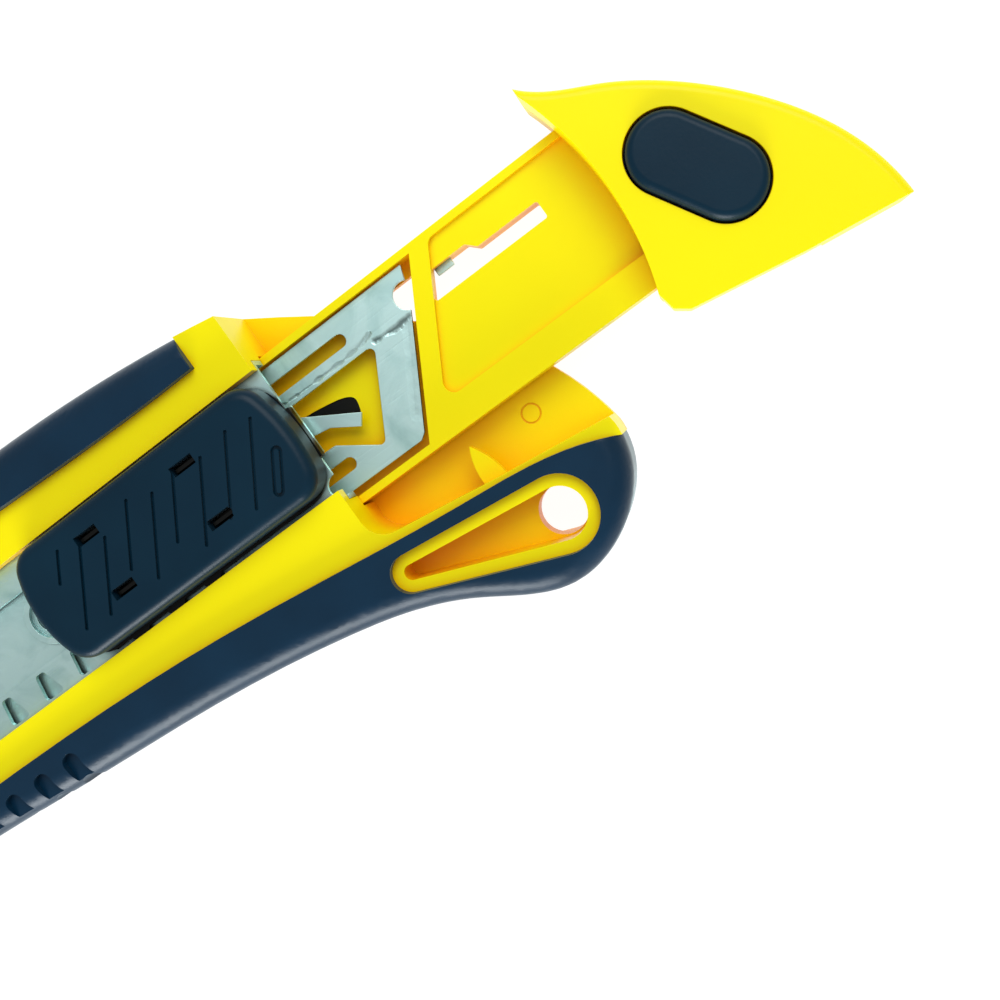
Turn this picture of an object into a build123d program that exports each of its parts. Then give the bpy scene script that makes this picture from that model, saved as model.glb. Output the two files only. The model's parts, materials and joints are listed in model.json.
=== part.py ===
from build123d import *
import os
from math import radians, tan

os.makedirs("parts", exist_ok=True)

# ---- driving dimensions, mm -------------------------------------------------
# The knife is drawn about the centre line of its blade channel: +X towards the tail, +Y towards
# the spine, +Z out of the front face, with the back face at height 0. datum_x and datum_y then
# carry that drawing so that the origin is under the middle of the knife with its cap pulled out.
datum_x = 53.315
datum_y = 6.35

blade_width = 18.0
blade_length = 100.0
blade_thickness = 0.5
blade_angle = 60.0          # slant of the snap lines, the tip and the nose
snap_pitch = 5.0
cap_pull = 41.5             # how far the magazine cap stands out
blade_front = -145.5        # where the blade's slanted end crosses the centre line

# heights above the back face
floor_top = 1.8
tray_bottom = 2.1
tray_floor_top = 3.3
plate_bottom = 4.9
plate_top = 5.4
tray_top = 6.1
parting = 6.2
rail_bottom = 6.5
rail_gauge = 0.6
blade_bottom = 7.2
leaf_bottom = 7.85
leaf_gauge = 0.5
lip_bottom = 9.0
lip_top = lip_bottom + rail_gauge
lid_bottom = 9.7
face_top = 11.6
grip_top = 12.8
slide_top = 14.6
grip_core_top = 10.4
grip_core_bottom = 1.6

# widths measured from the centre line
rail_outer = 9.75
rail_inner = rail_outer - rail_gauge
slot_half = 8.4
tray_spine_side = 10.1
tray_belly_side = -10.9
tray_wall = 0.95
tray_gap = 0.3
grip_skin = 2.2

# stations along the handle
tail_face = -14.6
slot_front = -138.0
nose_front = -149.5
rail_front = -155.5
tray_front = -147.4
blade_hole = (-53.9, 0.4)   # where the slide's boss holds the blade
eye_radius = 2.9
drop_tip = (-13.1, -20.85)
drop_eye = (4.6, -25.1)
web_top = 7.2
web_bottom = 4.2

rib_first = -60.7
rib_pitch = 4.65
rib_count = 14
rib_radius = 1.15


def slant(x, y):
    """Where a line at the blade angle that crosses the centre line at x stands at height y."""
    return (x + y / tan(radians(blade_angle)), y)


def level(height):
    """A horizontal drawing plane of the handle."""
    return Plane(origin=(datum_x, datum_y, height))


def pulled(height):
    """A horizontal drawing plane of the magazine: the same drawing, carried out by the pull."""
    return Plane(origin=(datum_x + cap_pull, datum_y, height))


def finish(piece, name):
    piece.part.label = name
    export_step(piece.part, f"parts/{name}.step")


# ---- outlines ---------------------------------------------------------------
nose_spine = slant(nose_front, 12.6)
nose_belly = slant(nose_front, -12.6)
spine_points = [nose_spine, (-118, 15.6), (-90, 18.3), (-62, 19.8), (-40, 19.3), (tail_face, 16.0)]
tail_points = [(tail_face, 16.0), (-5, 9.4), (6, -0.6), (12.6, -10.8), (15.4, -20.4)]
belly_points = [(15.4, -20.4), (12.6, -27.8), (1.5, -32.5), (-9.5, -27.3), (-24, -22.7), (-42, -20.2), (-62, -18.8),
                (-88, -17.6), (-116, -18.9), (-132, -16.3), nose_belly]

with BuildSketch() as handle_outline:
    with BuildLine():
        Spline(*spine_points)
        Spline(*tail_points)
        Spline(*belly_points)
        Line(nose_belly, nose_spine)
    make_face()

# the hook's inner edge: what lies above it belongs to the cap
hook_corner = 3.0
with BuildSketch() as cap_bay:
    with BuildLine():
        FilletPolyline((16, -19.6), (1, -17.8), (tail_face, -15.6), (tail_face, 18), radius=hook_corner)
        Line((tail_face, 18), (20, 18))
        Line((20, 18), (20, -20.1))
        Line((20, -20.1), (16, -19.6))
    make_face()

with BuildSketch() as front_outline:
    add(handle_outline.sketch)
    add(cap_bay.sketch, mode=Mode.SUBTRACT)

core_spine = [(x, y - grip_skin) for x, y in spine_points]
core_belly = [(13.1, -20.4), (10.6, -26.3), (1.4, -30.2)] + [(x, y + grip_skin) for x, y in belly_points[3:]]
with BuildSketch() as core_outline:
    with BuildLine():
        Spline(*core_spine)
        Line(core_spine[-1], core_belly[0])
        Spline(*core_belly)
        Line(core_belly[-1], core_spine[0])
    make_face()

with BuildSketch() as spine_zone:
    with BuildLine():
        Spline((-20, 12.6), (-40, 13.0), (-60, 13.9), (-90, 13.2), (-128, 11.6))
        Polyline((-128, 11.6), (-132, 24), (-20, 24), (-20, 12.6))
    make_face()

with BuildSketch() as belly_zone:
    with BuildLine():
        Spline((18, -23.5), (10, -19.9), (-5, -17.8), (-20, -16.0), (-40, -13.8), (-70, -12.7), (-136, -12.4))
        Polyline((-136, -12.4), (-142, -36), (18, -36), (18, -23.5))
    make_face()

with BuildSketch() as drop_rim:
    with Locations(drop_tip):
        Circle(2.3)
    with Locations(drop_eye):
        Circle(4.6)
    make_hull()

with BuildSketch() as drop_recess:
    with Locations(drop_tip):
        Circle(0.9)
    with Locations(drop_eye):
        Circle(3.1)
    make_hull()

with BuildSketch() as tray_path:
    with BuildLine():
        Polyline(slant(tray_front - 0.6, tray_belly_side - tray_gap), (30, tray_belly_side - tray_gap),
                 (30, tray_spine_side + tray_gap), slant(tray_front - 0.6, tray_spine_side + tray_gap), close=True)
    make_face()

with BuildSketch() as rail_path:
    with BuildLine():
        Polyline(slant(rail_front - 8, -rail_outer - 0.05), (tail_face + 40, -rail_outer - 0.05),
                 (tail_face + 40, rail_outer + 0.05), slant(rail_front - 8, rail_outer + 0.05), close=True)
    make_face()

rib_stations = [rib_first - rib_pitch * n for n in range(rib_count)]
with BuildSketch() as rib_slots:
    with Locations(*[(x, -18.2) for x in rib_stations]):
        SlotCenterToCenter(5.0, 2 * rib_radius, rotation=90)

with BuildSketch() as rib_scallops:
    with Locations(*[(x, -19.5) for x in rib_stations]):
        Circle(1.3 * rib_radius)

screw_places = [(-30, 13.4), (-104, 13.2), (-40, -15.2), (-104, -13.8), (10.3, -22.6)]
screw_shank = 1.1
screw_head = 1.9
head_seat = 1.6

# ---- rubber grips -----------------------------------------------------------
with BuildSketch() as spine_shape:
    add(handle_outline.sketch)
    add(spine_zone.sketch, mode=Mode.INTERSECT)

with BuildSketch() as belly_shape:
    add(handle_outline.sketch)
    add(belly_zone.sketch, mode=Mode.INTERSECT)
    add(drop_rim.sketch, mode=Mode.SUBTRACT)


def grip(shape, height, free_end, outer_end, rounding):
    """One rubber grip on one half: a skin over the plastic core, rounded along its outer edge."""
    core_height = grip_core_top - parting if height > 0 else grip_core_bottom - parting
    with BuildPart() as rubber:
        with BuildSketch(level(parting)):
            add(shape)
        extrude(amount=height)
        if rounding > 0:
            rim = rubber.faces().sort_by(free_end)[-1].outer_wire().edges()
            fillet(rim.sort_by(outer_end)[-1], radius=rounding)
        with BuildSketch(level(parting)):
            add(core_outline.sketch)
        extrude(amount=core_height, mode=Mode.SUBTRACT)
    return rubber


def grip_room(height):
    """The room that both grips take from one plastic half, square all round."""
    with BuildPart() as room:
        for shape in (spine_shape.sketch, belly_shape.sketch):
            add(grip(shape, height, Axis.Z, Axis.Y, 0).part)
    return room


def cut_ribs(rubber, face_height, depth):
    """Finger grooves: shallow across the free face, and scalloped all the way down the edge."""
    with BuildPart() as ribbed:
        add(rubber.part)
        with BuildSketch(level(face_height)):
            add(rib_slots.sketch)
        extrude(amount=depth, mode=Mode.SUBTRACT)
        with BuildSketch(level(face_height)):
            add(rib_scallops.sketch)
        extrude(amount=8 * depth, mode=Mode.SUBTRACT)
    return ribbed


def cut_screw_wells(rubber):
    """Wells through a back grip that let the shell screws in."""
    with BuildPart() as welled:
        add(rubber.part)
        with BuildSketch(level(0)):
            with Locations(*screw_places):
                Circle(screw_head + 0.1)
        extrude(amount=parting, mode=Mode.SUBTRACT)
    return welled


spine_grip_front = grip(spine_shape.sketch, grip_top - parting, Axis.Z, Axis.Y, 3.0)
belly_grip_front = grip(belly_shape.sketch, grip_top - parting, Axis.Z, -Axis.Y, 3.0)
spine_grip_back = grip(spine_shape.sketch, -parting, -Axis.Z, Axis.Y, 2.4)
belly_grip_back = grip(belly_shape.sketch, -parting, -Axis.Z, -Axis.Y, 2.4)
finish(spine_grip_front, "spine_grip_front")
finish(cut_screw_wells(spine_grip_back), "spine_grip_back")
finish(cut_ribs(belly_grip_front, grip_top, -1.0), "belly_grip_front")
finish(cut_screw_wells(cut_ribs(belly_grip_back, 0, 1.0)), "belly_grip_back")

# ---- plastic halves ---------------------------------------------------------
fin_root = (-1.3, -18.3)
fin_tip = (-0.3, -12.9)
fin_foot = (1.5, -18.4)
fin_bottom = 4.6
pin_mark = (7.3, -13.8)

with BuildPart() as front_shell:
    with BuildSketch(level(parting)):
        add(front_outline.sketch)
    extrude(amount=face_top - parting)
    add(grip_room(grip_top - parting).part, mode=Mode.SUBTRACT)
    # the channel's seat, open at both ends
    with BuildSketch(level(parting)):
        add(rail_path.sketch)
    extrude(amount=lid_bottom - parting, mode=Mode.SUBTRACT)
    # the slot that the slide runs in, open at the tail
    with BuildSketch(level(lid_bottom)):
        with BuildLine():
            FilletPolyline((tail_face + 40, slot_half), slant(slot_front, slot_half), slant(slot_front, -slot_half),
                           (tail_face + 40, -slot_half), radius=2.5)
            Line((tail_face + 40, -slot_half), (tail_face + 40, slot_half))
        make_face()
    extrude(amount=face_top - lid_bottom, mode=Mode.SUBTRACT)
    with BuildSketch(level(web_top)):
        add(drop_recess.sketch)
    extrude(amount=10, mode=Mode.SUBTRACT)
    with BuildSketch(level(parting)):
        with Locations(drop_eye):
            Circle(eye_radius)
    extrude(amount=10, mode=Mode.SUBTRACT)
    with BuildSketch(level(parting)):
        with Locations(*screw_places):
            Circle(screw_shank)
    extrude(amount=3.2, mode=Mode.SUBTRACT)
finish(front_shell, "front_shell")

with BuildPart() as back_shell:
    with BuildSketch(level(0)):
        add(handle_outline.sketch)
    extrude(amount=parting)
    add(grip_room(-parting).part, mode=Mode.SUBTRACT)
    # the magazine's seat and, behind it, the bay that the cap closes
    with BuildSketch(level(floor_top)):
        add(tray_path.sketch)
        add(cap_bay.sketch)
    extrude(amount=parting - floor_top, mode=Mode.SUBTRACT)
    with BuildSketch(level(0)):
        add(drop_recess.sketch)
    extrude(amount=web_bottom, mode=Mode.SUBTRACT)
    with BuildSketch(level(0)):
        with Locations(drop_eye):
            Circle(eye_radius)
    extrude(amount=parting, mode=Mode.SUBTRACT)
    with BuildSketch(level(0)):
        with Locations(*screw_places):
            Circle(screw_head + 0.1)
    extrude(amount=head_seat, mode=Mode.SUBTRACT)
    with BuildSketch(level(0)):
        with Locations(*screw_places):
            Circle(screw_shank + 0.1)
    extrude(amount=parting, mode=Mode.SUBTRACT)
    # the catch on the hook's wall that holds the closed cap
    with BuildSketch(level(fin_bottom)):
        with BuildLine():
            Spline(fin_root, (-1.2, -15.3), fin_tip)
            Spline(fin_tip, (0.9, -15.3), fin_foot)
            Line(fin_foot, fin_root)
        make_face()
    extrude(amount=parting - fin_bottom)
    # round mark of the mould's ejector pin
    with BuildSketch(level(floor_top)):
        with Locations(pin_mark):
            Circle(1.25)
            Circle(1.05, mode=Mode.SUBTRACT)
    extrude(amount=-0.2, mode=Mode.SUBTRACT)
finish(back_shell, "back_shell")

with BuildPart() as shell_screws:
    with BuildSketch(level(0.4)):
        with Locations(*screw_places):
            Circle(screw_head)
            RegularPolygon(0.8, 4, mode=Mode.SUBTRACT)
    extrude(amount=head_seat - 0.4)
    with BuildSketch(level(head_seat - 0.2)):
        with Locations(*screw_places):
            Circle(screw_shank)
    extrude(amount=parting + 3.0 - head_seat)
finish(shell_screws, "shell_screws")

# ---- steel channel ----------------------------------------------------------
spine_lip_edge = 4.7
belly_lip_edge = -4.1
notch_pitch = 5.64
notch_corner = -46.34       # belly-side tail corner of the notch at the slide's front
notch_places = [notch_corner - notch_pitch * n for n in range(-5, 18)]
notch_depth = -7.9

with BuildSketch() as rail_outline:
    with BuildLine():
        Polyline(slant(rail_front, -rail_outer), (tail_face, -rail_outer), (tail_face, rail_outer),
                 slant(rail_front, rail_outer), close=True)
    make_face()

with BuildPart() as blade_channel:
    with BuildSketch(level(rail_bottom)):
        add(rail_outline.sketch)
    extrude(amount=lip_top - rail_bottom)
    with BuildSketch(level(rail_bottom + rail_gauge)):
        Rectangle(400, 2 * rail_inner)
    extrude(amount=lip_bottom - rail_bottom - rail_gauge, mode=Mode.SUBTRACT)
    with BuildSketch(level(lip_bottom)):
        with Locations((0, (spine_lip_edge + belly_lip_edge) / 2)):
            Rectangle(400, spine_lip_edge - belly_lip_edge)
    extrude(amount=rail_gauge, mode=Mode.SUBTRACT)
    # notches along the belly lip, one for each position of the blade
    with BuildSketch(level(lip_bottom)):
        for x in notch_places:
            with BuildLine():
                FilletPolyline((x, notch_depth), (x - 1.1, -4.6), (x - 2.4, -4.6), (x - 3.0, notch_depth),
                               radius=0.45, close=True)
            make_face()
    extrude(amount=rail_gauge, mode=Mode.SUBTRACT)
    # the base is cut back beside its middle tongue at the tail
    with BuildSketch(level(rail_bottom)):
        with Locations((tail_face - 2.0, 6.2), (tail_face - 2.0, -6.2)):
            Rectangle(5.0, 5.8)
    extrude(amount=rail_gauge, mode=Mode.SUBTRACT)
    # rounded stops at the tail end of both lips
    with BuildSketch(level(lip_bottom)):
        with BuildLine():
            Polyline((-17.0, 5.2), (-16.4, 3.6), (-15.6, 3.05), (-14.9, 3.3), (tail_face, 4.2), (tail_face, 5.2), close=True)
        make_face()
    extrude(amount=rail_gauge)
    with BuildSketch(level(lip_bottom)):
        with Locations((tail_face, -7.9)):
            Circle(1.5)
    extrude(amount=rail_gauge, mode=Mode.SUBTRACT)
    # the loading window under the working blade's rest place
    with BuildSketch(level(rail_bottom)):
        with Locations((-60, 0)):
            SlotOverall(60, 7)
    extrude(amount=rail_gauge, mode=Mode.SUBTRACT)
finish(blade_channel, "blade_channel")

# ---- slide ------------------------------------------------------------------
slide_tail = -14.2
slide_length = 38.7
slide_middle = slide_tail - slide_length / 2
slide_top_side = 7.8
slide_low_side = -7.5
slide_width = slide_top_side - slide_low_side
plate_low = 9.65            # black plate of the base, shown as a rim round the cover
cover_bottom = 10.3
base_top = 12.1
hook_places = [(-41.3, 4.4), (-41.3, -3.1), (-26.9, 4.1), (-26.9, -3.3)]
rivet_places = [(-38.0, 0.4), (-22.0, 0.4)]
rim_lobes = [(notch_corner + 1.4 + notch_pitch * n, -7.6) for n in range(3)]   # bumps along the base's belly rim
boss_outer = 3.6
boss_hole = 2.2
boss_collar = 2.6

with BuildSketch() as slide_outline:
    with BuildLine():
        tail_top = (slide_tail - 1.8, slide_top_side)
        tail_low = (slide_tail - 1.0, slide_low_side)
        front_low = (slide_tail - slide_length + 2, slide_low_side)
        front_top = (slide_tail - slide_length + 2, slide_top_side)
        Line(front_low, tail_low)
        ThreePointArc(tail_low, (slide_tail, -1.0), tail_top)
        Line(tail_top, front_top)
        ThreePointArc(front_top, (slide_tail - slide_length, 0), front_low)
    make_face()
    fillet(slide_outline.vertices(), radius=3.4)

groove_angle = 57.0
groove_width = 0.42
groove_runs = [(-46.4, 3.4, 4.3), (-45.1, 0.2, 11.0), (-42.0, -0.8, 9.4), (-37.0, 1.5, 8.4), (-34.4, -0.4, 10.2),
               (-30.4, 0.9, 8.6), (-27.3, -0.6, 10.4), (-23.1, 0.1, 10.2), (-19.9, -0.6, 10.6)]
loop_groove = (-18.1, -2.9)
loop_length = 5.8
loop_width = 1.4

with BuildPart() as slide_cover:
    with BuildSketch(level(cover_bottom)):
        add(slide_outline.sketch)
    extrude(amount=slide_top - cover_bottom)
    fillet(slide_cover.faces().sort_by(Axis.Z)[-1].outer_wire().edges(), radius=1.4)
    with BuildSketch(level(cover_bottom)):
        with Locations((slide_middle, 0)):
            RectangleRounded(slide_length - 6.0, slide_width - 4.4, radius=2)
    extrude(amount=base_top + 0.1 - cover_bottom, mode=Mode.SUBTRACT)
    with BuildSketch(level(slide_top)):
        with Locations(*hook_places):
            Rectangle(3.2, 1.3, rotation=0)
    extrude(amount=-6, mode=Mode.SUBTRACT)
    with BuildSketch(level(slide_top)):
        for x, y, length in groove_runs:
            with Locations((x, y)):
                SlotOverall(length, groove_width, rotation=groove_angle)
        with Locations(loop_groove):
            SlotOverall(loop_length, loop_width, rotation=groove_angle)
            SlotOverall(loop_length - 2 * groove_width, loop_width - 2 * groove_width, rotation=groove_angle,
                        mode=Mode.SUBTRACT)
    extrude(amount=-0.45, mode=Mode.SUBTRACT)
finish(slide_cover, "slide_cover")

with BuildPart() as slide_base:
    with BuildSketch(level(leaf_bottom + leaf_gauge + 0.05)):
        with Locations((slide_middle + 1, 0)):
            Rectangle(slide_length - 9, 12)
    extrude(amount=lip_bottom - 0.08 - leaf_bottom - leaf_gauge - 0.05)
    with BuildSketch(level(leaf_bottom + leaf_gauge + 0.05)):
        with Locations((slide_middle + 1, 0)):
            Rectangle(slide_length - 9, 7.4)
    extrude(amount=1.7)
    with BuildSketch(level(plate_low)):
        with Locations((slide_middle + 0.2, -0.2)):
            RectangleRounded(slide_length - 1.0, slide_width, radius=4.0)
        with Locations(*rim_lobes):
            RectangleRounded(2.7, 1.4, radius=0.5)
    extrude(amount=cover_bottom - 0.05 - plate_low)
    with BuildSketch(level(cover_bottom - 0.05)):
        with Locations((slide_middle, 0)):
            RectangleRounded(slide_length - 6.2, slide_width - 4.6, radius=1.9)
    extrude(amount=base_top - cover_bottom + 0.05)
    # snap posts that stand up into the cover's pockets
    with BuildSketch(level(base_top)):
        with Locations(*hook_places):
            Rectangle(2.8, 0.5)
    extrude(amount=1.5)
    # end wall that shuts the tail of the slide
    with BuildSketch(level(leaf_bottom + leaf_gauge + 0.05)):
        with Locations((slide_tail - 2.8, -0.5)):
            Rectangle(5.6, 6.8)
    extrude(amount=1.35)
    with BuildSketch(level(7.4)):
        with Locations(*rivet_places):
            Circle(1.1)
    extrude(amount=3.1, mode=Mode.SUBTRACT)
finish(slide_base, "slide_base")

with BuildPart() as slide_leaf:
    with BuildSketch(level(leaf_bottom)):
        with BuildLine():
            Polyline((-70, 8.6), (-17, 8.6), (-17, -8.6), (-68.5, -8.6), (-70, -7.1), close=True)
        make_face()
    extrude(amount=leaf_gauge)
    with BuildSketch(level(blade_bottom + 0.05)):
        with Locations(blade_hole):
            Circle(boss_collar)
    extrude(amount=leaf_bottom - blade_bottom)
    with BuildSketch(level(leaf_bottom + leaf_gauge)):
        with Locations(blade_hole):
            Circle(boss_outer)
            Circle(boss_outer - 0.8, mode=Mode.SUBTRACT)
    extrude(amount=0.6)
    with BuildSketch(level(blade_bottom)):
        with Locations(blade_hole):
            Circle(boss_hole)
    extrude(amount=3, mode=Mode.SUBTRACT)
    with BuildSketch(level(leaf_bottom)):
        with Locations(*rivet_places):
            Circle(1.1)
    extrude(amount=leaf_gauge, mode=Mode.SUBTRACT)
finish(slide_leaf, "slide_leaf")

with BuildPart() as slide_rivets:
    with BuildSketch(level(leaf_bottom - 0.4)):
        with Locations(*rivet_places):
            Circle(1.8)
    extrude(amount=0.4)
    with BuildSketch(level(leaf_bottom - 0.2)):
        with Locations(*rivet_places):
            Circle(1.1)
    extrude(amount=2.7)
finish(slide_rivets, "slide_rivets")

with BuildPart() as click_spring:
    with BuildSketch(level(leaf_bottom + leaf_gauge + 0.05)):
        with BuildLine():
            Polyline((-49.5, -6.4), (-30, -6.4), (-28.4, -7.9), (-26.6, -7.9), (-25, -6.4), (-19, -6.4),
                     (-19, -6.9), (-25.2, -6.9), (-26.8, -8.4), (-28.2, -8.4), (-29.8, -6.9), (-49.5, -6.9), close=True)
        make_face()
    extrude(amount=0.5)
finish(click_spring, "click_spring")

# ---- working blade ----------------------------------------------------------
with BuildPart() as cutter_blade:
    with BuildSketch(level(blade_bottom)):
        with BuildLine():
            Polyline(slant(blade_front, -blade_width / 2), slant(blade_front + blade_length, -blade_width / 2),
                     slant(blade_front + blade_length - 4, blade_width / 2), slant(blade_front, blade_width / 2),
                     close=True)
        make_face()
    extrude(amount=blade_thickness)
    with BuildSketch(level(blade_bottom)):
        with Locations(blade_hole):
            Circle(boss_collar + 0.1)
    extrude(amount=blade_thickness, mode=Mode.SUBTRACT)
    # ground edge along the belly side
    belly_edge = cutter_blade.faces().sort_by(Axis.Y)[0].edges().filter_by(Axis.X)
    chamfer(belly_edge.sort_by(Axis.Z)[-1], length=0.2, length2=2.0)
    with BuildSketch(level(blade_bottom + blade_thickness)):
        with Locations(*[(blade_front + snap_pitch * n, 0) for n in range(1, 17)]):
            Rectangle(2 * blade_width, 0.15, rotation=blade_angle)
    extrude(amount=-0.12, mode=Mode.SUBTRACT)
finish(cutter_blade, "cutter_blade")

# ---- magazine ---------------------------------------------------------------
bay_gap = 0.3
bar_front = -39.7          # crossbar of the tray, drawn with the cap closed
bar_tail = -37.0
bar_bottom = 4.0
tray_tail = -9.0
stem_place = (-3.3, -3.4)
cap_screw_places = [(-10.4, 8.4), (8.2, -13.4)]
head_left = tail_face + bay_gap

cap_points = [(head_left, 15.3), (-11.5, 12.8), (-6.2, 9.8), (-1.5, 6.5), (5, 0), (10.8, -9.2), (13.0, -19.0)]
catch_room_top = -12.4     # the cap is cut away below this to pass the catch
catch_room_tail = 3.6

with BuildSketch() as head_outline:
    with BuildLine():
        Spline(*cap_points)
        Polyline(cap_points[-1], (1, -17.8 + bay_gap), (-12.4, -15.6 + bay_gap), (-13.9, -14.2), (head_left, -12.0))
        ThreePointArc((head_left, -12.0), (-12.1, -0.8), (head_left, 14.1))
        Line((head_left, 14.1), cap_points[0])
    make_face()

with BuildSketch() as deck_slot:
    with BuildLine():
        FilletPolyline(slant(bar_tail, 2.9), (-19.2, 2.9), (-19.2, 5.1), (-27.6, 5.1), (-28.7, 6.2), slant(bar_tail, 6.2),
                       radius=0.3, close=True)
    make_face()

# arched opening in the tray's floor, and the block under the pusher's finger that shows in it
arch_points = [(-58.0, 1.7), (-55.2, 1.6), (-53.4, 1.3), (-51.3, 0.8), (-50.2, 0.0), (-50.25, -1.0), (-50.6, -2.0)]
with BuildSketch() as arch_outline:
    with BuildLine():
        Spline(*arch_points)
        Polyline(arch_points[-1], (-51.0, -2.4), (-57.3, 0.7), arch_points[0])
    make_face()

deck_sink = 0.7
tab_bottom = 3.6
tab_middle = -32.2
tab_width = 2.3

with BuildPart() as magazine_tray:
    with BuildSketch(pulled(tray_bottom)):
        with BuildLine():
            Polyline(slant(tray_front, tray_belly_side), (tray_tail, tray_belly_side), (tray_tail, tray_spine_side),
                     slant(tray_front, tray_spine_side), close=True)
        make_face()
    extrude(amount=tray_top - tray_bottom)
    with BuildSketch(pulled(tray_floor_top)):
        with BuildLine():
            Polyline(slant(tray_front + 1.2, tray_belly_side + tray_wall), slant(bar_front, tray_belly_side + tray_wall),
                     slant(bar_front, tray_spine_side - tray_wall), slant(tray_front + 1.2, tray_spine_side - tray_wall),
                     close=True)
        make_face()
    extrude(amount=tray_top - tray_floor_top, mode=Mode.SUBTRACT)
    # deck between the crossbar and the cap, sunk a little below the side rails
    with BuildSketch(pulled(tray_top - deck_sink)):
        with BuildLine():
            FilletPolyline(slant(bar_tail, -7.0), (tray_tail + 5, -7.0), (tray_tail + 5, tray_spine_side - tray_wall),
                           slant(bar_tail, tray_spine_side - tray_wall), radius=1.3, close=True)
        make_face()
    extrude(amount=deck_sink, mode=Mode.SUBTRACT)
    with BuildSketch(pulled(tray_bottom)):
        add(deck_slot.sketch)
    extrude(amount=tray_top - tray_bottom, mode=Mode.SUBTRACT)
    # the slot runs on through the floor under the crossbar
    with BuildSketch(pulled(tray_bottom)):
        with BuildLine():
            Polyline((-39.9, 2.9), slant(bar_tail + 0.5, 2.9), slant(bar_tail + 0.5, 7.4), (-39.9, 7.4), close=True)
        make_face()
    extrude(amount=bar_bottom - tray_bottom, mode=Mode.SUBTRACT)
    # pocket for the stop spring, under the deck's spine edge
    with BuildSketch(pulled(tab_bottom - 0.05)):
        with Locations((tab_middle, 7.4)):
            Rectangle(tab_width + 0.1, 2.9)
    extrude(amount=0.7, mode=Mode.SUBTRACT)
    with BuildSketch(pulled(tray_floor_top - 0.8)):
        add(arch_outline.sketch)
    extrude(amount=0.8, mode=Mode.SUBTRACT)
    # the cap's base
    with BuildSketch(pulled(tray_bottom)):
        add(head_outline.sketch)
    extrude(amount=tray_top - tray_bottom)
    # pocket for the latch, open towards the hook so that the catch can pass
    with BuildSketch(pulled(tray_bottom)):
        with BuildLine():
            Polyline((-9.5, 4), (catch_room_tail, 4), (catch_room_tail, -25), (-20, -25), (-20, catch_room_top),
                     (-9.5, catch_room_top), close=True)
        make_face()
    extrude(amount=4.9 - tray_bottom, mode=Mode.SUBTRACT)
    with BuildSketch(pulled(tray_bottom)):
        with BuildLine():
            Polyline((catch_room_tail, catch_room_top), (catch_room_tail, -25), (-20, -25), (-20, catch_room_top),
                     close=True)
        make_face()
    extrude(amount=tray_top - tray_bottom + 0.3, mode=Mode.SUBTRACT)
    with BuildSketch(pulled(tray_bottom)):
        with Locations(stem_place):
            Circle(1.9)
        with Locations(*cap_screw_places):
            Circle(1.0)
    extrude(amount=tray_top, mode=Mode.SUBTRACT)
    with BuildSketch(pulled(tray_bottom)):
        with Locations(*cap_screw_places):
            Circle(1.8)
    extrude(amount=1.4, mode=Mode.SUBTRACT)
finish(magazine_tray, "magazine_tray")

plate_front = -146.0
plate_tail = -40.4
plate_half = 9.0
with BuildPart() as pusher_plate:
    with BuildSketch(pulled(plate_bottom)):
        with BuildLine():
            Polyline(slant(plate_front, -plate_half), slant(plate_tail - 0.5, -plate_half), slant(plate_tail, -8.4),
                     slant(plate_tail, 5.6), (-36.7, 7.3), (-36.1, plate_half - 0.1),
                     slant(plate_front, plate_half - 0.1), close=True)
        make_face()
        with Locations((-37.5, 5.6)):
            Circle(1.75, mode=Mode.SUBTRACT)
        with Locations((-60.4, 6.1)):
            SlotOverall(28, 1.65, mode=Mode.SUBTRACT)
        with Locations((-68.0, -6.2)):
            SlotOverall(28, 1.6, mode=Mode.SUBTRACT)
        with BuildLine():
            FilletPolyline((-61.0, 3.4), (-44.0, 3.4), (-49.9, -6.9), (-55.0, -3.4), (-61.0, -3.2), radius=0.7, close=True)
        make_face(mode=Mode.SUBTRACT)
        with BuildLine():
            Polyline((-62.0, 2.8), (-57.6, 2.4), (-50.0, -2.1), (-51.0, -3.45), (-54.2, -1.4), (-57.0, -0.9), (-62.0, -1.0),
                     close=True)
        make_face()
    extrude(amount=plate_top - plate_bottom)
    # spring fingers that reach down to the tray's floor and push the plate up
    for x in (-88.0, -120.0):
        with BuildSketch(Plane(origin=(datum_x + cap_pull, datum_y, 0), x_dir=(1, 0, 0), z_dir=(0, -1, 0))):
            with BuildLine():
                Polyline((x - 1.0, plate_top - 0.1), (x + 0.4, plate_top - 0.1), (x + 5.0, tray_floor_top + 0.75),
                         (x + 6.6, tray_floor_top + 0.55), (x + 6.6, tray_floor_top + 0.15),
                         (x + 4.6, tray_floor_top + 0.35), (x, plate_bottom + 0.1), (x - 1.0, plate_bottom + 0.1),
                         close=True)
            make_face()
        extrude(amount=1.2, both=True)
finish(pusher_plate, "pusher_plate")

with BuildPart() as stop_spring:
    with BuildSketch(pulled(tab_bottom)):
        with Locations((tab_middle, 7.0)):
            Rectangle(tab_width, 3.4)
    extrude(amount=0.6)
finish(stop_spring, "stop_spring")

with BuildPart() as feed_block:
    with BuildSketch(pulled(tray_floor_top - 0.8)):
        add(arch_outline.sketch)
    extrude(amount=0.6)
finish(feed_block, "feed_block")

crown = 0.8
hollow_points = [(-10.2, 10.0), (-3.2, 4.8), (3.2, -1.6), (8.4, -10.0), (9.8, -16.6)]
with BuildSketch() as cover_hollow:
    with BuildLine():
        Spline(*hollow_points)
        Polyline(hollow_points[-1], (1, -15.7), (-10.8, -13.6), hollow_points[0])
    make_face()

with BuildSketch() as button_hole:
    with Locations(stem_place):
        SlotOverall(16.4, 9.4, rotation=-blade_angle)

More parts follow.
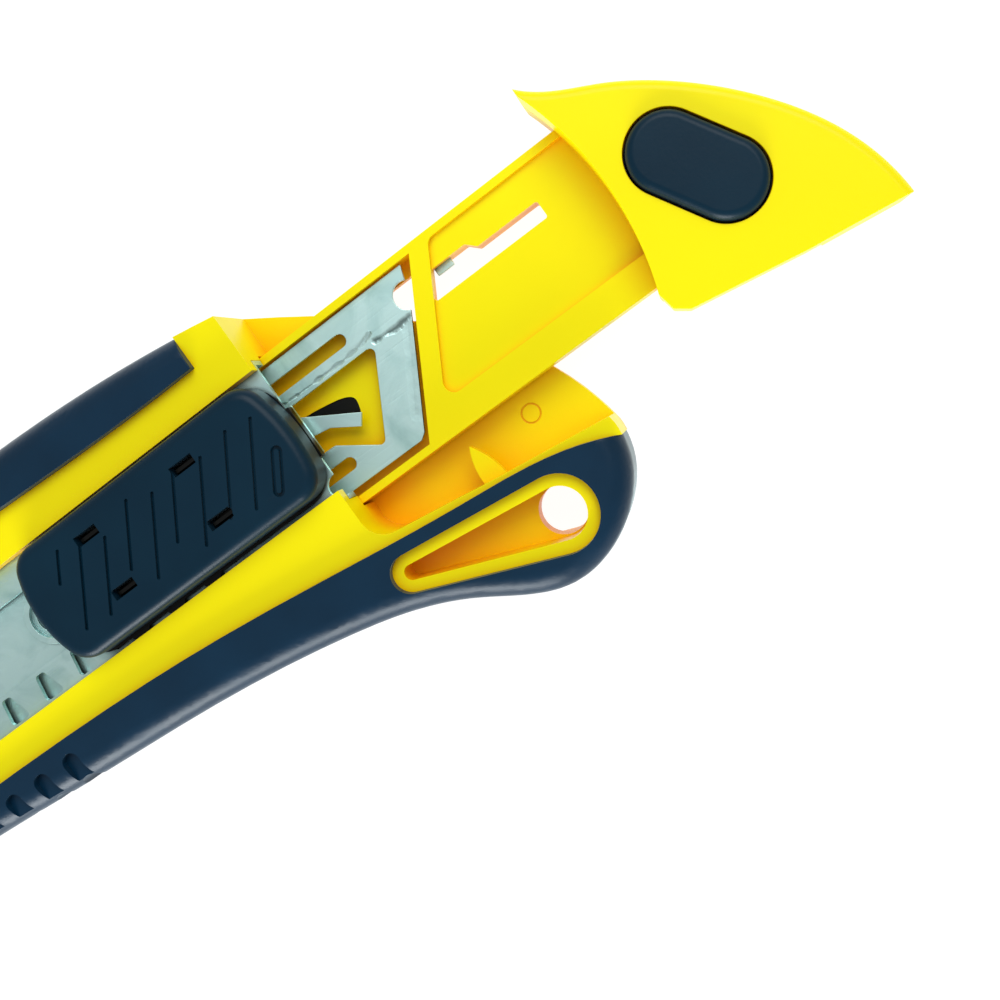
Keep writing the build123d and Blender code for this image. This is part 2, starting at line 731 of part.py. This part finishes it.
with BuildPart() as cap_cover:
    with BuildSketch(pulled(tray_top + 0.05)):
        add(head_outline.sketch)
    extrude(amount=face_top + crown - tray_top - 0.05)
    fillet(cap_cover.faces().sort_by(Axis.Z)[-1].outer_wire().edges().sort_by(SortBy.LENGTH)[-1], radius=1.2)
    with BuildSketch(pulled(tray_top + 0.05)):
        add(cover_hollow.sketch)
    extrude(amount=9.8 - tray_top, mode=Mode.SUBTRACT)
    with BuildSketch(pulled(tray_top)):
        with BuildLine():
            Polyline((catch_room_tail, catch_room_top), (catch_room_tail, -25), (-20, -25), (-20, catch_room_top),
                     close=True)
        make_face()
    extrude(amount=0.4, mode=Mode.SUBTRACT)
    with BuildSketch(pulled(tray_top)):
        add(button_hole.sketch)
    extrude(amount=12, mode=Mode.SUBTRACT)
    # bosses for the cap screws
    with BuildSketch(pulled(tray_top + 0.05)):
        with Locations(*cap_screw_places):
            Circle(1.9)
    extrude(amount=4.2)
    with BuildSketch(pulled(tray_top)):
        with Locations(*cap_screw_places):
            Circle(0.9)
    extrude(amount=3.4, mode=Mode.SUBTRACT)
finish(cap_cover, "cap_cover")

with BuildPart() as cap_screws:
    with BuildSketch(pulled(tray_bottom + 0.3)):
        with Locations(*cap_screw_places):
            Circle(1.7)
    extrude(amount=1.1)
    with BuildSketch(pulled(tray_bottom + 1.2)):
        with Locations(*cap_screw_places):
            Circle(0.9)
    extrude(amount=6.0)
finish(cap_screws, "cap_screws")

# ---- release ----------------------------------------------------------------
latch_bottom = 3.6
latch_gauge = 0.8
button_top = 13.4
flange_bottom = 8.3

with BuildPart() as release_button:
    with BuildSketch(pulled(flange_bottom)):
        with Locations(stem_place):
            SlotOverall(18.4, 11.4, rotation=-blade_angle)
        add(cover_hollow.sketch, mode=Mode.INTERSECT)
    extrude(amount=1.2)
    with BuildSketch(pulled(flange_bottom)):
        with Locations(stem_place):
            SlotOverall(15.8, 8.8, rotation=-blade_angle)
    extrude(amount=button_top - flange_bottom)
    fillet(release_button.faces().sort_by(Axis.Z)[-1].outer_wire().edges(), radius=1.0)
    with BuildSketch(pulled(latch_bottom + latch_gauge)):
        with Locations(stem_place):
            Circle(1.6)
    extrude(amount=flange_bottom - latch_bottom - latch_gauge)
finish(release_button, "release_button")

with BuildPart() as latch_hook:
    with BuildSketch(pulled(latch_bottom)):
        with BuildLine():
            Polyline((-8.5, 1.5), (1.5, 1.5), (1.5, -9.0), (0.0, -10.5), (0.0, -16.4), (-2.6, -16.4),
                     (-3.6, -10.5), (-8.5, -9.0), close=True)
        make_face()
    extrude(amount=latch_gauge)
finish(latch_hook, "latch_hook")

spring_radius = 2.4
spring_wire = 0.25
spring_low = tray_top + spring_wire + 0.02
spring_high = flange_bottom - spring_wire - 0.02
spring_turns = 2.5
spring_base = Plane(origin=(datum_x + cap_pull + stem_place[0], datum_y + stem_place[1], spring_low))
with BuildPart() as button_spring:
    with BuildLine(spring_base) as coil:
        Helix(pitch=(spring_high - spring_low) / spring_turns, height=spring_high - spring_low, radius=spring_radius)
    with BuildSketch(coil.line ^ 0):
        Circle(spring_wire)
    sweep(is_frenet=True)
finish(button_spring, "button_spring")
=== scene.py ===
import json
from math import cos, hypot, radians, sin

import bpy
from mathutils import Matrix, Vector


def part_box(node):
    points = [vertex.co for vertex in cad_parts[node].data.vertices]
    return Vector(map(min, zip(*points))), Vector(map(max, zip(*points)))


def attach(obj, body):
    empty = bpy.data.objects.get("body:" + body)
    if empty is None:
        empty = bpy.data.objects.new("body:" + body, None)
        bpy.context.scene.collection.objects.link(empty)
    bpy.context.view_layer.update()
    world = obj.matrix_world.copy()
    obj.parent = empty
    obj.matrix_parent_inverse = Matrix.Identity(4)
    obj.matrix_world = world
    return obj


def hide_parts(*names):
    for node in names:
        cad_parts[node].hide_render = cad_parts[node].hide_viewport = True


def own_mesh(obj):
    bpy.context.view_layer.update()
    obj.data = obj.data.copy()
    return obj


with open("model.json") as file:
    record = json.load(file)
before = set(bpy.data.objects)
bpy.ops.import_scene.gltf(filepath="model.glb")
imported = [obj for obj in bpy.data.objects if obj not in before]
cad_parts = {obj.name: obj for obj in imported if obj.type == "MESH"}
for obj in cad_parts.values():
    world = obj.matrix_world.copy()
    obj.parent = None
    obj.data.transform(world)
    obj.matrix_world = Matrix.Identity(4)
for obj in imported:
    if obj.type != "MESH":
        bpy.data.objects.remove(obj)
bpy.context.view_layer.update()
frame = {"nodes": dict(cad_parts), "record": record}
cad = frame["nodes"]
mm = 0.001

# places taken from the frame
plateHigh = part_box("pusher_plate")[1]     # the plate's spine-side tail corner
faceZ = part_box("front_shell")[1].z        # yellow front face
print("frame loaded:", len(cad), "nodes")


# small tools
def toLinear(hexColour):
    # an sRGB hex value as the linear colour that a socket takes
    values = [int(hexColour[i:i + 2], 16) / 255 for i in (0, 2, 4)]
    return tuple(v / 12.92 if v <= 0.04045 else ((v + 0.055) / 1.055) ** 2.4 for v in values) + (1.0,)


def addNode(tree, kind, settings=None, links=None):
    # one node with its settings and what feeds it; a key that is a socket sets the socket's value
    node = tree.nodes.new(kind)
    for key, value in (settings or {}).items():
        if isinstance(key, str) and hasattr(node, key):
            setattr(node, key, value)
        else:
            node.inputs[key].default_value = value
    for key, source in (links or {}).items():
        tree.links.new(source, node.inputs[key])
    return node


def startMaterial(name):
    material = bpy.data.materials.new(name)
    material.use_nodes = True
    material.node_tree.nodes.clear()
    return material, material.node_tree


def endMaterial(tree, shader):
    addNode(tree, "ShaderNodeOutputMaterial", links={"Surface": shader.outputs[0]})


def selectOnly(piece):
    bpy.ops.object.select_all(action="DESELECT")
    piece.select_set(True)
    bpy.context.view_layer.objects.active = piece


# finishes: sizes of patterns in mm, colours in sRGB hex
cornerRays = 8      # rays that feel for hollows and corners

mouldedAbs = {
    "colour": "FAEE00", "shade": "F8E400", "cloudMm": 16, "cloudDetail": 2.0,
    "hollowShade": "F8AC00", "hollowMm": 7.0, "hollowFrom": 0.8, "hollowTo": 0.25, "hollowMost": 0.9,
    "grainMm": 0.25, "grainDetail": 3.0, "grainDepthMm": 0.03, "bump": 0.06,
    "glossiest": 0.25, "dullest": 0.37, "ior": 1.53, "spec": 0.15,
    "glow": 0.08, "glowReach": (1.0, 0.8, 0.05), "glowMm": 0.7,
}


def makeAbs(name, look):
    # injection-moulded ABS: saturated, a soft gloss with a faint spark-eroded grain, drawn coarser than
    # it is so that it shows, and amber in its hollows, which is painted shade
    material, tree = startMaterial(name)
    where = addNode(tree, "ShaderNodeTexCoord")
    cloud = addNode(tree, "ShaderNodeTexNoise",
                    {"Scale": 1000 / look["cloudMm"], "Detail": look["cloudDetail"]},
                    {"Vector": where.outputs["Object"]})
    colour = addNode(tree, "ShaderNodeMix",
                     {"data_type": "RGBA", 6: toLinear(look["colour"]), 7: toLinear(look["shade"])},
                     {"Factor": cloud.outputs["Fac"]})
    # painted shade: the yellow turns amber where the AO node finds a hollow
    openness = addNode(tree, "ShaderNodeAmbientOcclusion",
                       {"samples": cornerRays, "Distance": look["hollowMm"] * mm})
    depth = addNode(tree, "ShaderNodeMapRange",
                    {"From Min": look["hollowFrom"], "From Max": look["hollowTo"], "To Max": look["hollowMost"]},
                    {"Value": openness.outputs["AO"]})
    colour = addNode(tree, "ShaderNodeMix", {"data_type": "RGBA", 7: toLinear(look["hollowShade"])},
                     {"Factor": depth.outputs["Result"], 6: colour.outputs[2]})
    grain = addNode(tree, "ShaderNodeTexNoise",
                    {"Scale": 1000 / look["grainMm"], "Detail": look["grainDetail"]},
                    {"Vector": where.outputs["Object"]})
    rough = addNode(tree, "ShaderNodeMapRange", {"To Min": look["glossiest"], "To Max": look["dullest"]},
                    {"Value": grain.outputs["Fac"]})
    bump = addNode(tree, "ShaderNodeBump", {"Strength": look["bump"], "Distance": look["grainDepthMm"] * mm},
                   {"Height": grain.outputs["Fac"]})
    shader = addNode(tree, "ShaderNodeBsdfPrincipled",
                     {"IOR": look["ior"], "Specular IOR Level": look["spec"],
                      "Subsurface Weight": look["glow"], "Subsurface Radius": look["glowReach"],
                      "Subsurface Scale": look["glowMm"] * mm},
                     {"Base Color": colour.outputs[2], "Roughness": rough.outputs["Result"],
                      "Normal": bump.outputs["Normal"]})
    endMaterial(tree, shader)
    return material


# what the dark mouldings share, then what each has of its own
darkMould = {
    "cloudMm": 9, "cloudDetail": 4.0, "grainDetail": 3.0, "grainDepthMm": 0.05, "ior": 1.5,
    "sheenRoughness": 0.3, "sheenTint": "D8F2F6",
}
moulded = {
    "navy": {"colour": "001F33", "worn": "002C46", "glossiest": 0.3, "dullest": 0.44, "grainMm": 0.5,
             "bump": 0.35, "spec": 0.22, "sheen": 0.3},
    "slide": {"colour": "001D2E", "worn": "00283A", "glossiest": 0.3, "dullest": 0.44, "grainMm": 0.4,
              "bump": 0.22, "spec": 0.17, "sheen": 0.08},
    "black": {"colour": "040605", "worn": "0B0D0B", "glossiest": 0.24, "dullest": 0.38, "grainMm": 0.3,
              "bump": 0.1, "spec": 0.2, "sheen": 0.0},
}


def makeDarkMoulding(name, look):
    # rubber, nylon and acetal straight from the mould: dark and matt, with a fine leathery grain that
    # catches pale light, drawn coarser than it is so that it shows
    material, tree = startMaterial(name)
    where = addNode(tree, "ShaderNodeTexCoord")
    cloud = addNode(tree, "ShaderNodeTexNoise",
                    {"Scale": 1000 / darkMould["cloudMm"], "Detail": darkMould["cloudDetail"]},
                    {"Vector": where.outputs["Object"]})
    colour = addNode(tree, "ShaderNodeMix",
                     {"data_type": "RGBA", 6: toLinear(look["colour"]), 7: toLinear(look["worn"])},
                     {"Factor": cloud.outputs["Fac"]})
    grain = addNode(tree, "ShaderNodeTexNoise",
                    {"Scale": 1000 / look["grainMm"], "Detail": darkMould["grainDetail"]},
                    {"Vector": where.outputs["Object"]})
    rough = addNode(tree, "ShaderNodeMapRange", {"To Min": look["glossiest"], "To Max": look["dullest"]},
                    {"Value": cloud.outputs["Fac"]})
    bump = addNode(tree, "ShaderNodeBump",
                   {"Strength": look["bump"], "Distance": darkMould["grainDepthMm"] * mm},
                   {"Height": grain.outputs["Fac"]})
    shader = addNode(tree, "ShaderNodeBsdfPrincipled",
                     {"IOR": darkMould["ior"], "Specular IOR Level": look["spec"],
                      "Sheen Weight": look["sheen"], "Sheen Roughness": darkMould["sheenRoughness"],
                      "Sheen Tint": toLinear(darkMould["sheenTint"])},
                     {"Base Color": colour.outputs[2], "Roughness": rough.outputs["Result"],
                      "Normal": bump.outputs["Normal"]})
    endMaterial(tree, shader)
    return material


# what the steels share, then what each has of its own
wornSteel = {
    "streakDetail": 3.0, "streakRough": 0.12, "bump": 0.3, "bumpMm": 0.03,
    "cloudMm": 7, "cloudDetail": 5.0, "cloudTwist": 0.8, "stainFrom": 0.45, "stainTo": 0.7, "stainRough": 0.14,
    "cornerFrom": 0.75, "cornerTo": 0.35, "cornerMost": 0.85,
    "scratchTurn": 31, "scratchLengthMm": 11.11111, "scratchMm": 0.384615, "scratchDetail": 1.0,
    "scratchFrom": 0.64, "scratchTo": 0.7,
}
rolled = {
    "strip": {"colour": "D0F1EF", "stain": "A8CBCA", "roughness": 0.36, "streakMm": 0.3, "lengthMm": 8,
              "grimeAndShade": "2E3B3B", "cornerMm": 1.0},
    "blade": {"colour": "CCF0F0", "stain": "AFD0D0", "roughness": 0.26, "streakMm": 0.15, "lengthMm": 5,
              "grimeAndShade": "2E3B3B", "cornerMm": 1.0},
    "zinc": {"colour": "C9CED2", "stain": "A9B2BA", "roughness": 0.28, "streakMm": 0.3, "lengthMm": 0.3,
             "grimeAndShade": "3A3A3A", "cornerMm": 0.4},
}

# lines scored and pressed into the pusher plate, mm from its spine-side tail corner
scoring = {"wobbleMm": 1.6, "wobbleDetail": 3.0, "raggedMm": 1.1, "bump": 0.7, "bumpMm": 0.18}
plateLines = [
    {"points": [(-2.6, -5.4), (-4.6, -5.6), (-7.6, -5.3)], "width": 0.45, "depth": 1.0, "dark": 0.75},
    {"points": [(-7.6, -4.2), (-9.6, -4.7), (-11.9, -4.9), (-16.6, -4.9), (-21.3, -4.8)],
     "width": 0.3, "depth": 0.8, "dark": 0.35},
    {"points": [(-3.4, -6.2), (-5.5, -9.8), (-8.8, -15.0)], "width": 0.8, "depth": 0.25, "dark": 0.3},
]


def scoreLines(tree, where):
    # how far each point of the surface is from the lines, as depth and as darkening: a smudge along the first
    # line, painted shade along the crease and the dented band of the other two
    wobble = addNode(tree, "ShaderNodeTexNoise",
                     {"Scale": 1000 / scoring["wobbleMm"], "Detail": scoring["wobbleDetail"]},
                     {"Vector": where.outputs["Object"]})
    ragged = addNode(tree, "ShaderNodeMath",
                     {"operation": "MULTIPLY_ADD", 1: scoring["raggedMm"] * mm,
                      2: -scoring["raggedMm"] / 2 * mm},
                     {0: wobble.outputs["Fac"]})
    depth, smudgeAndShade = None, None
    for line in plateLines:
        corners = [(plateHigh.x + x * mm, plateHigh.y + y * mm) for x, y in line["points"]]
        nearest = None
        for start, end in zip(corners, corners[1:]):
            # the distance from one straight run of the line
            run = hypot(end[0] - start[0], end[1] - start[1])
            along = ((end[0] - start[0]) / run, (end[1] - start[1]) / run, 0)
            local = addNode(tree, "ShaderNodeVectorMath",
                            {"operation": "SUBTRACT", 1: (start[0], start[1], 0)},
                            {0: where.outputs["Object"]})
            flat = addNode(tree, "ShaderNodeVectorMath", {"operation": "MULTIPLY", 1: (1, 1, 0)},
                           {0: local.outputs[0]})
            travel = addNode(tree, "ShaderNodeVectorMath", {"operation": "DOT_PRODUCT", 1: along},
                             {0: flat.outputs[0]})
            held = addNode(tree, "ShaderNodeClamp", {"Min": 0.0, "Max": run},
                           {"Value": travel.outputs["Value"]})
            foot = addNode(tree, "ShaderNodeVectorMath", {"operation": "SCALE", 0: along},
                           {"Scale": held.outputs[0]})
            away = addNode(tree, "ShaderNodeVectorMath", {"operation": "DISTANCE"},
                           {0: flat.outputs[0], 1: foot.outputs[0]}).outputs["Value"]
            if nearest is not None:
                away = addNode(tree, "ShaderNodeMath", {"operation": "MINIMUM"},
                               {0: nearest, 1: away}).outputs[0]
            nearest = away
        loose = addNode(tree, "ShaderNodeMath", {"operation": "ADD"}, {0: nearest, 1: ragged.outputs[0]})
        groove = addNode(tree, "ShaderNodeMapRange",
                         {"From Min": line["width"] * mm, "From Max": 0.0, "To Max": line["depth"]},
                         {"Value": loose.outputs[0]}).outputs["Result"]
        grimeAndShade = addNode(tree, "ShaderNodeMath", {"operation": "MULTIPLY", 1: line["dark"]},
                        {0: groove}).outputs[0]
        if depth is not None:
            groove = addNode(tree, "ShaderNodeMath", {"operation": "MAXIMUM"},
                             {0: depth, 1: groove}).outputs[0]
            grimeAndShade = addNode(tree, "ShaderNodeMath", {"operation": "MAXIMUM"},
                            {0: smudgeAndShade, 1: grimeAndShade}).outputs[0]
        depth, smudgeAndShade = groove, grimeAndShade
    return depth, smudgeAndShade


def makeSteel(name, look, scored=False):
    # cold-rolled strip: long rolling streaks, drawn wider than they are so that they show, handling
    # scratches, and cloudy stains that change its gloss
    material, tree = startMaterial(name)
    where = addNode(tree, "ShaderNodeTexCoord")
    along = addNode(tree, "ShaderNodeMapping",
                    {"Scale": (1000 / look["lengthMm"], 1000 / look["streakMm"], 1000 / look["streakMm"])},
                    {"Vector": where.outputs["Object"]})
    streak = addNode(tree, "ShaderNodeTexNoise", {"Scale": 1.0, "Detail": wornSteel["streakDetail"]},
                     {"Vector": along.outputs[0]})
    cloud = addNode(tree, "ShaderNodeTexNoise",
                    {"Scale": 1000 / wornSteel["cloudMm"], "Detail": wornSteel["cloudDetail"],
                     "Distortion": wornSteel["cloudTwist"]},
                    {"Vector": where.outputs["Object"]})
    stain = addNode(tree, "ShaderNodeMapRange",
                    {"From Min": wornSteel["stainFrom"], "From Max": wornSteel["stainTo"]},
                    {"Value": cloud.outputs["Fac"]})
    colour = addNode(tree, "ShaderNodeMix",
                     {"data_type": "RGBA", 6: toLinear(look["colour"]), 7: toLinear(look["stain"])},
                     {"Factor": stain.outputs["Result"]})
    # painted shade: darker in the corners of every step and slot, where the AO node finds them
    openness = addNode(tree, "ShaderNodeAmbientOcclusion",
                       {"samples": cornerRays, "Distance": look["cornerMm"] * mm})
    corner = addNode(tree, "ShaderNodeMapRange",
                     {"From Min": wornSteel["cornerFrom"], "From Max": wornSteel["cornerTo"],
                      "To Max": wornSteel["cornerMost"]},
                     {"Value": openness.outputs["AO"]})
    colour = addNode(tree, "ShaderNodeMix", {"data_type": "RGBA", 7: toLinear(look["grimeAndShade"])},
                     {"Factor": corner.outputs["Result"], 6: colour.outputs[2]})
    turned = addNode(tree, "ShaderNodeMapping",
                     {"Rotation": (0, 0, radians(wornSteel["scratchTurn"])),
                      "Scale": (1000 / wornSteel["scratchLengthMm"], 1000 / wornSteel["scratchMm"],
                                1000 / wornSteel["scratchMm"])},
                     {"Vector": where.outputs["Object"]})
    scratch = addNode(tree, "ShaderNodeTexNoise", {"Scale": 1.0, "Detail": wornSteel["scratchDetail"]},
                      {"Vector": turned.outputs[0]})
    scratched = addNode(tree, "ShaderNodeMapRange",
                        {"From Min": wornSteel["scratchFrom"], "From Max": wornSteel["scratchTo"]},
                        {"Value": scratch.outputs["Fac"]})
    mixed = addNode(tree, "ShaderNodeMath",
                    {"operation": "MULTIPLY_ADD", 1: wornSteel["streakRough"], 2: look["roughness"]},
                    {0: streak.outputs["Fac"]})
    rough = addNode(tree, "ShaderNodeMath", {"operation": "MULTIPLY_ADD", 1: wornSteel["stainRough"]},
                    {0: stain.outputs["Result"], 2: mixed.outputs[0]})
    height = addNode(tree, "ShaderNodeMath", {"operation": "SUBTRACT"},
                     {0: streak.outputs["Fac"], 1: scratched.outputs["Result"]})
    bump = addNode(tree, "ShaderNodeBump",
                   {"Strength": wornSteel["bump"], "Distance": wornSteel["bumpMm"] * mm},
                   {"Height": height.outputs[0]})
    if scored:
        depth, smudgeAndShade = scoreLines(tree, where)
        bump = addNode(tree, "ShaderNodeBump",
                       {"Strength": scoring["bump"], "Distance": scoring["bumpMm"] * mm, "invert": True},
                       {"Height": depth, "Normal": bump.outputs["Normal"]})
        # darker along the scored lines: a smudge on the first, painted shade on the crease and band of the other
        # two
        colour = addNode(tree, "ShaderNodeMix", {"data_type": "RGBA", 7: toLinear(look["grimeAndShade"])},
                         {"Factor": smudgeAndShade, 6: colour.outputs[2]})
    shader = addNode(tree, "ShaderNodeBsdfPrincipled", {"Metallic": 1.0},
                     {"Base Color": colour.outputs[2], "Roughness": rough.outputs[0],
                      "Normal": bump.outputs["Normal"]})
    endMaterial(tree, shader)
    return material


finishes = {
    "yellow_abs": makeAbs("mouldedYellowAbs", mouldedAbs),
    "navy_rubber": makeDarkMoulding("overmouldedNavyRubber", moulded["navy"]),
    "navy_plastic": makeDarkMoulding("mouldedNavyNylon", moulded["slide"]),
    "black_acetal": makeDarkMoulding("mouldedBlackAcetal", moulded["black"]),
    "strip_steel": makeSteel("rolledSpringSteel", rolled["strip"]),
    "blade_steel": makeSteel("groundBladeSteel", rolled["blade"]),
    "zinc_screws": makeSteel("zincPlatedSteel", rolled["zinc"]),
}
scoredSteel = makeSteel("scoredSpringSteel", rolled["strip"], scored=True)
slotOf = {part["node"]: part["material_slot"] for part in frame["record"]["subparts"]}
bodyOf = {node: body for body, nodes in frame["record"]["behaviour"]["bodies"].items() for node in nodes}
print("finishes made:", len(finishes))


# every moulded and pressed piece: the design's own shape with its edges broken, widths in mm
edgeBreak = {
    "front_shell": 0.35, "back_shell": 0.35, "spine_grip_front": 0.5, "spine_grip_back": 0.5,
    "belly_grip_front": 0.5, "belly_grip_back": 0.5, "magazine_tray": 0.2, "cap_cover": 0.35,
    # painted shade: slide_base carries a black skirt along its belly side where the slide shades the channel lip
    "slide_cover": 0.12, "slide_base": 0.12, "release_button": 0.2, "latch_hook": 0.1,
    # painted shade: feed_block is a black block under the tray's floor opening, where there is shade
    "blade_channel": 0.12, "slide_leaf": 0.1, "pusher_plate": 0.1, "stop_spring": 0.08, "feed_block": 0.1,
    "click_spring": 0.06, "cutter_blade": 0.0, "slide_rivets": 0.1, "button_spring": 0.0,
    "shell_screws": 0.12, "cap_screws": 0.12,
}
finishing = {
    "mergeMm": 0.002, "flatDegrees": 0.5, "bevelSteps": 3, "bevelDegrees": 35, "smoothDegrees": 34,
}


def refine(node, width):
    piece = bpy.data.objects.new(node + "Finished", cad[node].data.copy())
    bpy.context.scene.collection.objects.link(piece)
    selectOnly(piece)
    if piece.data.has_custom_normals:
        bpy.ops.mesh.customdata_custom_splitnormals_clear()
    bpy.ops.object.mode_set(mode="EDIT")
    bpy.ops.mesh.select_all(action="SELECT")
    bpy.ops.mesh.remove_doubles(threshold=finishing["mergeMm"] * mm)
    bpy.ops.mesh.dissolve_limited(angle_limit=radians(finishing["flatDegrees"]))
    bpy.ops.object.mode_set(mode="OBJECT")
    if width > 0:
        bevel = piece.modifiers.new("edgeBreak", "BEVEL")
        bevel.width = width * mm
        bevel.segments = finishing["bevelSteps"]
        bevel.limit_method = "ANGLE"
        bevel.angle_limit = radians(finishing["bevelDegrees"])
        bevel.use_clamp_overlap = True
        bevel.harden_normals = False
        bpy.ops.object.modifier_apply(modifier="edgeBreak")
    bpy.ops.object.shade_smooth_by_angle(angle=radians(finishing["smoothDegrees"]))
    weighted = piece.modifiers.new("flatFaces", "WEIGHTED_NORMAL")
    weighted.keep_sharp = True
    bpy.ops.object.modifier_apply(modifier="flatFaces")
    piece.data.materials.clear()
    piece.data.materials.append(scoredSteel if node == "pusher_plate" else finishes[slotOf[node]])
    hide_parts(node)
    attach(piece, bodyOf[node])
    return piece


pieces = {node: refine(node, width) for node, width in edgeBreak.items()}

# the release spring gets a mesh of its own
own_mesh(pieces["button_spring"])
print("pieces finished:", len(pieces))


# floor, lights and camera: lengths of the room in metres
studio = {
    "floorSize": 6.0, "floorDropMm": 0.2, "floorColour": "707070", "floorRoughness": 0.9,
    "glowColour": "FFFFFF", "glow": 0.95, "sky": 0.5,
}
lights = {
    "keyLight": {"power": 4.8, "size": 0.6, "place": (0.42, 0.4, 0.68), "target": (0.03, 0, 0)},
    "sheenLight": {"power": 4.4, "size": 0.3, "place": (-0.3, -0.45, 0.1), "target": (-0.03, 0, 0)},
}
lightTint = (0.96, 1.0, 1.0)      # faintly cool


def makeFloor():
    bpy.ops.object.select_all(action="DESELECT")
    bpy.ops.mesh.primitive_plane_add(size=studio["floorSize"], location=(0, 0, -studio["floorDropMm"] * mm))
    floor = bpy.context.object
    floor.name = "floor"
    material, tree = startMaterial("paleFloor")
    shader = addNode(tree, "ShaderNodeBsdfPrincipled",
                     {"Base Color": toLinear(studio["floorColour"]), "Roughness": studio["floorRoughness"],
                      "Emission Color": toLinear(studio["glowColour"]), "Emission Strength": studio["glow"]})
    endMaterial(tree, shader)
    floor.data.materials.append(material)


def makeLight(name, facts):
    data = bpy.data.lights.new(name, "AREA")
    data.energy = facts["power"]
    data.size = facts["size"]
    data.color = lightTint
    lamp = bpy.data.objects.new(name, data)
    lamp.location = facts["place"]
    aim = Vector(facts["target"]) - Vector(facts["place"])
    lamp.rotation_euler = aim.to_track_quat("-Z", "Y").to_euler()
    bpy.context.scene.collection.objects.link(lamp)


cameraFacts = {
    "lensMm": 45.0, "tilt": 10.5, "roll": 35.6, "distanceMm": 139.4, "aimX": 53.315, "aimY": -13.65,
    "clipMm": 5,
}


def makeCamera():
    tilt, roll = radians(cameraFacts["tilt"]), radians(cameraFacts["roll"])
    back = Vector((sin(tilt), 0, cos(tilt)))
    alongKnife = Vector((cos(tilt), 0, -sin(tilt)))
    right = alongKnife * cos(roll) - Vector((0, sin(roll), 0))
    up = alongKnife * sin(roll) + Vector((0, cos(roll), 0))
    data = bpy.data.cameras.new("camera")
    data.lens = cameraFacts["lensMm"]
    data.clip_start = cameraFacts["clipMm"] * mm
    camera = bpy.data.objects.new("camera", data)
    bpy.context.scene.collection.objects.link(camera)
    aim = Vector((cameraFacts["aimX"] * mm, cameraFacts["aimY"] * mm, faceZ))
    place = aim + back * cameraFacts["distanceMm"] * mm
    turn = Matrix((right, up, back)).transposed().to_4x4()
    camera.matrix_world = Matrix.Translation(place) @ turn
    bpy.context.scene.camera = camera


makeFloor()
for name, facts in lights.items():
    makeLight(name, facts)
makeCamera()
world = bpy.data.worlds.new("softSky")
world.use_nodes = True
sky = world.node_tree.nodes["Background"].inputs
sky["Color"].default_value = (1, 1, 1, 1)
sky["Strength"].default_value = studio["sky"]
bpy.context.scene.world = world
bpy.context.scene.view_settings.view_transform = "Standard"
print("stage set")
